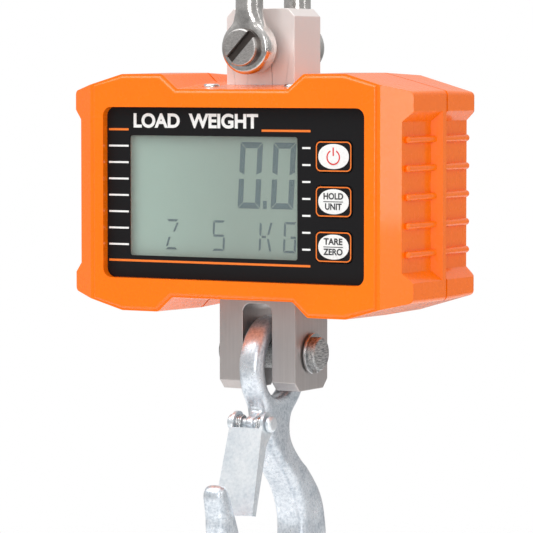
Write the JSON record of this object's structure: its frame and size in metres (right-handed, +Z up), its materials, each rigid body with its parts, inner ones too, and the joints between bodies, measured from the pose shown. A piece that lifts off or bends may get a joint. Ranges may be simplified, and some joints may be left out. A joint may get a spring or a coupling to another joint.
{
  "type": "hanging crane scale",
  "caption": "Hanging crane scale: steel load bar through a two-shell case with display and keys, shackle above and latched hook below.",
  "frame": {"origin": "point inside the top of the shackle's bow where the crane's hook bears, on the load axis", "axes": "+Z up along the load axis, +Y from the display towards the back, +X to the right of someone facing the display"},
  "size_m": [0.15, 0.0811, 0.2941],
  "materials": {
    "orange_paint": "gloss",
    "black_print": "satin",
    "clear_window": "clear",
    "lcd_panel": "satin",
    "light_guide": "matte",
    "key_white": "satin",
    "rubber": "matte",
    "board_green": "satin",
    "black_component": "matte",
    "gauge_foil": "satin",
    "steel_bar": "brushed",
    "stainless": "polished",
    "zinc_plate": "mottled zinc",
    "screw_chrome": "polished",
    "battery_label": "satin",
    "wire_grey": "satin",
    "wire_red": "satin"
  },
  "bodies": {
    "shackle": {"shackle_bow": "stainless", "shackle_pin": "stainless"},
    "scale_body": {"front_shell": "orange_paint", "back_shell": "orange_paint", "case_gasket": "rubber", "front_overlay": "black_print", "display_window": "clear_window", "lcd_glass": "lcd_panel", "lcd_backlight": "light_guide", "lcd_connector": "rubber", "main_board": "board_green", "board_screws": "screw_chrome", "board_parts": "black_component", "key_switches": "black_component", "load_cell": "steel_bar", "strain_gauges": "gauge_foil", "upper_bracket": "steel_bar", "upper_seal": "rubber", "lower_seal": "rubber", "top_screws": "screw_chrome", "case_screws": "screw_chrome", "hook_pin": "stainless", "pin_rings": "screw_chrome", "battery_box": "black_component", "battery_cells": "battery_label", "battery_contacts": "screw_chrome", "cell_wires": "wire_grey", "battery_wires": "wire_red"},
    "hook": {"hook": "zinc_plate", "latch_pin": "zinc_plate"},
    "latch": {"latch": "zinc_plate", "latch_spring": "screw_chrome"},
    "power_key": {"power_key": "key_white"},
    "hold_key": {"hold_key": "key_white"},
    "tare_key": {"tare_key": "key_white"},
    "battery_door": {"battery_door": "orange_paint", "door_screws": "screw_chrome"}
  },
  "joints": [
    {"name": "shackle_hinge", "type": "hinge", "parent": "shackle", "child": "scale_body", "pos_m": [0, 0, -0.0475], "axis": [0, 1, 0], "range_deg": [-90, 90]},
    {"name": "hook_hinge", "type": "hinge", "parent": "scale_body", "child": "hook", "pos_m": [0, 0, -0.1662], "axis": [1, 0, 0], "range_deg": [-55, 60]},
    {"name": "latch_hinge", "type": "hinge", "parent": "hook", "child": "latch", "pos_m": [0, -0.01681, -0.19282], "axis": [1, 0, 0], "range_deg": [0, 40], "stiffness_Nm_per_rad": 0.02, "springref_deg": -28.65},
    {"name": "power_key_press", "type": "slide", "parent": "scale_body", "child": "power_key", "axis": [0, 1, 0], "range_m": [0, 0.0006], "stiffness_N_per_m": 600},
    {"name": "hold_key_press", "type": "slide", "parent": "scale_body", "child": "hold_key", "axis": [0, 1, 0], "range_m": [0, 0.0006], "stiffness_N_per_m": 600},
    {"name": "tare_key_press", "type": "slide", "parent": "scale_body", "child": "tare_key", "axis": [0, 1, 0], "range_m": [0, 0.0006], "stiffness_N_per_m": 600},
    {"name": "battery_door_slide", "type": "slide", "parent": "scale_body", "child": "battery_door", "axis": [0, 1, 0], "range_m": [0, 0.03]}
  ]
}
